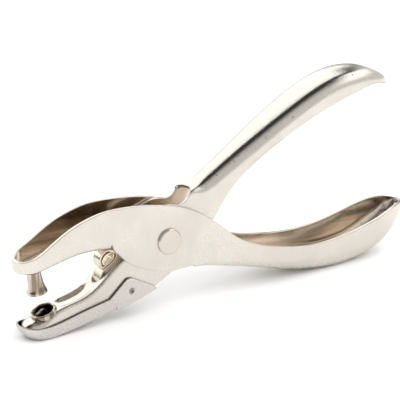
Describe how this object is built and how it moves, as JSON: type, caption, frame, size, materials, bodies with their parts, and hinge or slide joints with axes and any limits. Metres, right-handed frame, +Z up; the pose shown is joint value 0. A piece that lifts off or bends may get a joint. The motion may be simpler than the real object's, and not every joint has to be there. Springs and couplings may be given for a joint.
{
  "type": "hand-held hole punch",
  "caption": "Hand-held plier-type hole punch with crossed channel levers, a return spring and a swing-down chip catcher.",
  "frame": {"origin": "centre of the bounding box, on the surface the punch stands on", "axes": "+Z up, +X from the jaws to the handles, Y along the pivot, rivet head on the -Y side"},
  "size_m": [0.1446, 0.0164, 0.0638],
  "materials": {
    "lever_nickel": "satin nickel plate",
    "catcher_nickel": "satin nickel plate",
    "rivet_nickel": "polished nickel plate",
    "punch_steel": "ground steel, nickel plated",
    "spring_steel": "matte spring steel"
  },
  "bodies": {
    "outer_arm": {"outer_lever": "lever_nickel", "punch_pin": "punch_steel", "pivot_rivet": "rivet_nickel", "pivot_washer": "rivet_nickel", "pivot_bushing": "rivet_nickel"},
    "inner_arm": {"inner_lever": "lever_nickel", "die_bushing": "punch_steel", "catcher_pin": "rivet_nickel", "return_spring": "spring_steel"},
    "catcher": {"chip_catcher": "catcher_nickel"}
  },
  "joints": [
    {"name": "squeeze", "type": "hinge", "parent": "outer_arm", "child": "inner_arm", "pos_m": [-0.02225, 0, 0.022], "axis": [0, 1, 0], "range_deg": [0, 10], "stiffness_Nm_per_rad": 1.4, "springref_deg": -5.73, "deforming": ["return_spring"]},
    {"name": "catcher_swing", "type": "hinge", "parent": "inner_arm", "child": "catcher", "pos_m": [-0.03525, 0, 0.0088], "axis": [0, -1, 0], "range_deg": [0, 30]}
  ]
}
